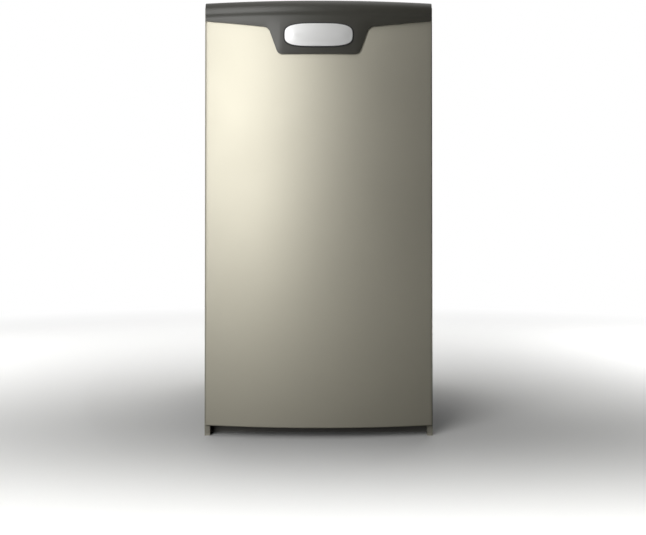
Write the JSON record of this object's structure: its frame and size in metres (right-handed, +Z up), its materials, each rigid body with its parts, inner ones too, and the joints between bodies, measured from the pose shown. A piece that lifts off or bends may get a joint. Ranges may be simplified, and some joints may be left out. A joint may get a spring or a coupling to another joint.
{
  "type": "home furnace",
  "caption": "Upright condensing gas furnace with a bowed champagne door, dark header with a blank oval badge, burners, heat exchangers, draught inducer and blower inside.",
  "frame": {"origin": "on the floor, under the middle of the whole furnace's box", "axes": "+Z up, the door faces -Y, +X is to the right of someone facing the door"},
  "size_m": [0.446, 0.745, 0.864],
  "materials": {
    "champagne_paint": "satin metallic champagne paint",
    "dark_header": "satin dark grey-brown moulding",
    "silver_badge": "satin silver",
    "galvanised_steel": "galvanised sheet with a fine spangle",
    "dark_steel": "dark paint",
    "aluminised_steel": "aluminised sheet",
    "cast_alloy": "as cast",
    "fin_aluminium": "bright fin stock",
    "black_iron": "black pipe",
    "motor_steel": "ground steel",
    "motor_grey": "dark grey enamel on a cast shell",
    "white_pipe": "white rigid plastic pipe",
    "black_plastic": "moulded black plastic",
    "red_plastic": "moulded red plastic",
    "white_plastic": "moulded white plastic",
    "hose_rubber": "matt rubber hose",
    "foil_board": "foil-faced glass wool",
    "black_felt": "matt black felted pad",
    "ceramic": "unglazed insulator",
    "sight_glass": "clear round window",
    "board_green": "green circuit board"
  },
  "bodies": {
    "cabinet": {"left_side_panel": "champagne_paint", "right_side_panel": "champagne_paint", "back_panel": "galvanised_steel", "top_cap": "galvanised_steel", "base_pan": "galvanised_steel", "blower_deck": "galvanised_steel", "vestibule_panel": "galvanised_steel", "blower_access_panel": "galvanised_steel", "burner_box_cover": "galvanised_steel", "blower_wrap": "galvanised_steel", "blower_side_left": "galvanised_steel", "blower_side_right": "galvanised_steel", "motor_mount": "galvanised_steel", "control_box": "galvanised_steel", "junction_box": "galvanised_steel", "kick_rail": "dark_steel", "transformer": "dark_steel", "burner_box": "aluminised_steel", "burner_assembly": "aluminised_steel", "primary_cell_1": "aluminised_steel", "primary_cell_2": "aluminised_steel", "primary_cell_3": "aluminised_steel", "coupling_box": "aluminised_steel", "gas_valve": "cast_alloy", "condensing_coil": "fin_aluminium", "gas_manifold": "black_iron", "gas_supply_pipe": "black_iron", "blower_motor": "motor_grey", "inducer_motor": "motor_grey", "vent_pipe": "white_pipe", "intake_pipe": "white_pipe", "rollout_switch": "black_plastic", "header_box": "black_plastic", "inducer_housing": "black_plastic", "pressure_switch": "black_plastic", "condensate_trap": "black_plastic", "interlock_switch": "black_plastic", "pressure_hose": "hose_rubber", "drain_hose": "hose_rubber", "insulation_left": "foil_board", "insulation_right": "foil_board", "igniter": "ceramic", "flame_sensor": "ceramic", "sight_glass": "sight_glass", "control_board": "board_green"},
    "door": {"door_panel": "champagne_paint", "door_insulation": "black_felt", "door_striker": "galvanised_steel", "header_trim": "dark_header", "badge": "silver_badge"},
    "blower_rotor": {"blower_wheel": "galvanised_steel", "wheel_disc": "galvanised_steel", "motor_shaft": "motor_steel"},
    "inducer_rotor": {"inducer_rotor": "dark_steel"},
    "gas_lever": {"gas_valve_lever": "red_plastic"},
    "reset_button": {"rollout_reset": "red_plastic"},
    "knob_left": {"thumb_knob_left": "black_plastic"},
    "knob_right": {"thumb_knob_right": "black_plastic"},
    "interlock_plunger": {"interlock_plunger": "white_plastic"}
  },
  "joints": [
    {"name": "door_pull", "type": "slide", "parent": "cabinet", "child": "door", "axis": [0, -1, 0], "range_m": [0, 0.4]},
    {"name": "interlock_press", "type": "slide", "parent": "cabinet", "child": "interlock_plunger", "axis": [0, -1, 0], "range_m": [0, 0.005]},
    {"name": "blower_spin", "type": "hinge", "parent": "cabinet", "child": "blower_rotor", "pos_m": [0, 0.06, 0.19], "axis": [1, 0, 0], "continuous": true},
    {"name": "inducer_spin", "type": "hinge", "parent": "cabinet", "child": "inducer_rotor", "pos_m": [-0.1, -0.28, 0.5], "axis": [0, 1, 0], "continuous": true},
    {"name": "gas_lever_turn", "type": "hinge", "parent": "cabinet", "child": "gas_lever", "pos_m": [0.182, -0.3134, 0.699], "axis": [0, 1, 0], "range_deg": [0, 90]},
    {"name": "reset_press", "type": "slide", "parent": "cabinet", "child": "reset_button", "axis": [0, 1, 0], "range_m": [0, 0.0015], "stiffness_N_per_m": 300},
    {"name": "knob_left_turn", "type": "hinge", "parent": "cabinet", "child": "knob_left", "pos_m": [-0.18, -0.3041, 0.366], "axis": [0, 1, 0], "range_deg": [0, 90]},
    {"name": "knob_right_turn", "type": "hinge", "parent": "cabinet", "child": "knob_right", "pos_m": [0.18, -0.3041, 0.366], "axis": [0, 1, 0], "range_deg": [0, 90]}
  ],
  "couplings": [
    {"joint": "interlock_press", "follows": "door_pull", "ratio": 0.0125}
  ]
}
